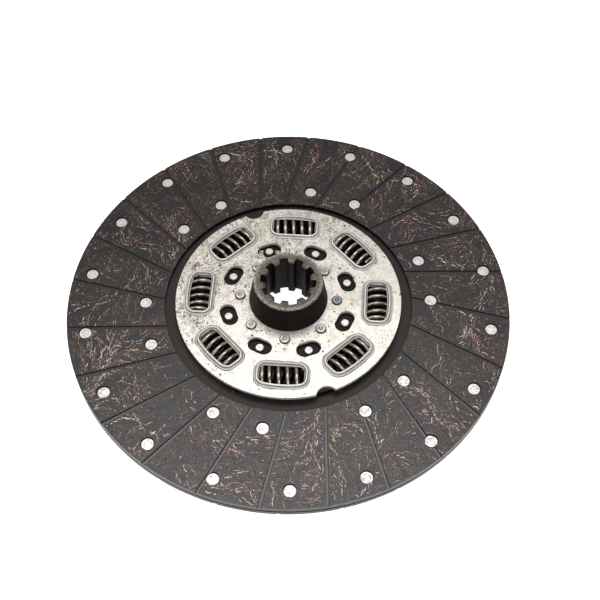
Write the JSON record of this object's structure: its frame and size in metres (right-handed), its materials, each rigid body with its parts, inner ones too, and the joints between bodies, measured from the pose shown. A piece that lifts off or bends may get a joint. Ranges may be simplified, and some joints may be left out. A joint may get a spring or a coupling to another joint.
{
  "type": "clutch disc",
  "caption": "Dry clutch disc: grooved woven friction facings riveted to a core plate, plated retainer plates over coil damper springs, and a splined hub barrel.",
  "frame": {"origin": "on the hub's axis, at the middle of the core plate's thickness, halfway between the two friction faces", "axes": "+Z along the hub's axis towards the long end of the hub barrel; +X points 3.5 degrees ahead of the first damper spring's middle"},
  "size_m": [0.3556, 0.3556, 0.0452],
  "materials": {
    "friction_facing": "moulded woven friction material, dark grey-brown with cut brass and copper wire",
    "rivet_metal": "plated steel, satin",
    "core_steel": "dark oiled steel",
    "adapter_steel": "dark oiled steel",
    "friction_washer": "moulded friction ring",
    "pin_steel": "ground bright end",
    "hub_steel": "black oxide forging, grey worn end face",
    "plated_steel": "zinc plated, satin, with dark pits and faint stains",
    "hub_rivet_steel": "upset steel rivet, dull",
    "spring_steel": "bronze-brown oil-tempered spring steel"
  },
  "bodies": {
    "hub_body": {"hub": "hub_steel", "retainer_plate_front": "plated_steel", "retainer_plate_rear": "plated_steel", "hub_rivets": "hub_rivet_steel"},
    "disc_body": {"core_plate": "core_steel", "facing_front": "friction_facing", "facing_rear": "friction_facing", "outer_facing_rivets": "rivet_metal", "inner_facing_rivets": "rivet_metal", "adapter_plate_front": "adapter_steel", "adapter_plate_rear": "adapter_steel", "stop_pins": "pin_steel", "friction_ring_front": "friction_washer", "friction_ring_rear": "friction_washer"},
    "spring_body": {"damper_spring_1": "spring_steel", "damper_spring_2": "spring_steel", "damper_spring_3": "spring_steel", "damper_spring_4": "spring_steel", "damper_spring_5": "spring_steel", "damper_spring_6": "spring_steel", "damper_spring_7": "spring_steel", "damper_spring_8": "spring_steel"}
  },
  "joints": [
    {"name": "damper_twist", "type": "hinge", "parent": "hub_body", "child": "disc_body", "pos_m": [0, 0, 0], "axis": [0, 0, 1], "range_deg": [-7.3, 7.3], "stiffness_Nm_per_rad": 6000},
    {"name": "spring_travel", "type": "hinge", "parent": "hub_body", "child": "spring_body", "pos_m": [0, 0, 0], "axis": [0, 0, 1], "range_deg": [-3.65, 3.65], "deforming": ["damper_spring_1", "damper_spring_2", "damper_spring_3", "damper_spring_4", "damper_spring_5", "damper_spring_6", "damper_spring_7", "damper_spring_8"]}
  ],
  "couplings": [
    {"joint": "spring_travel", "follows": "damper_twist", "ratio": 0.5}
  ]
}
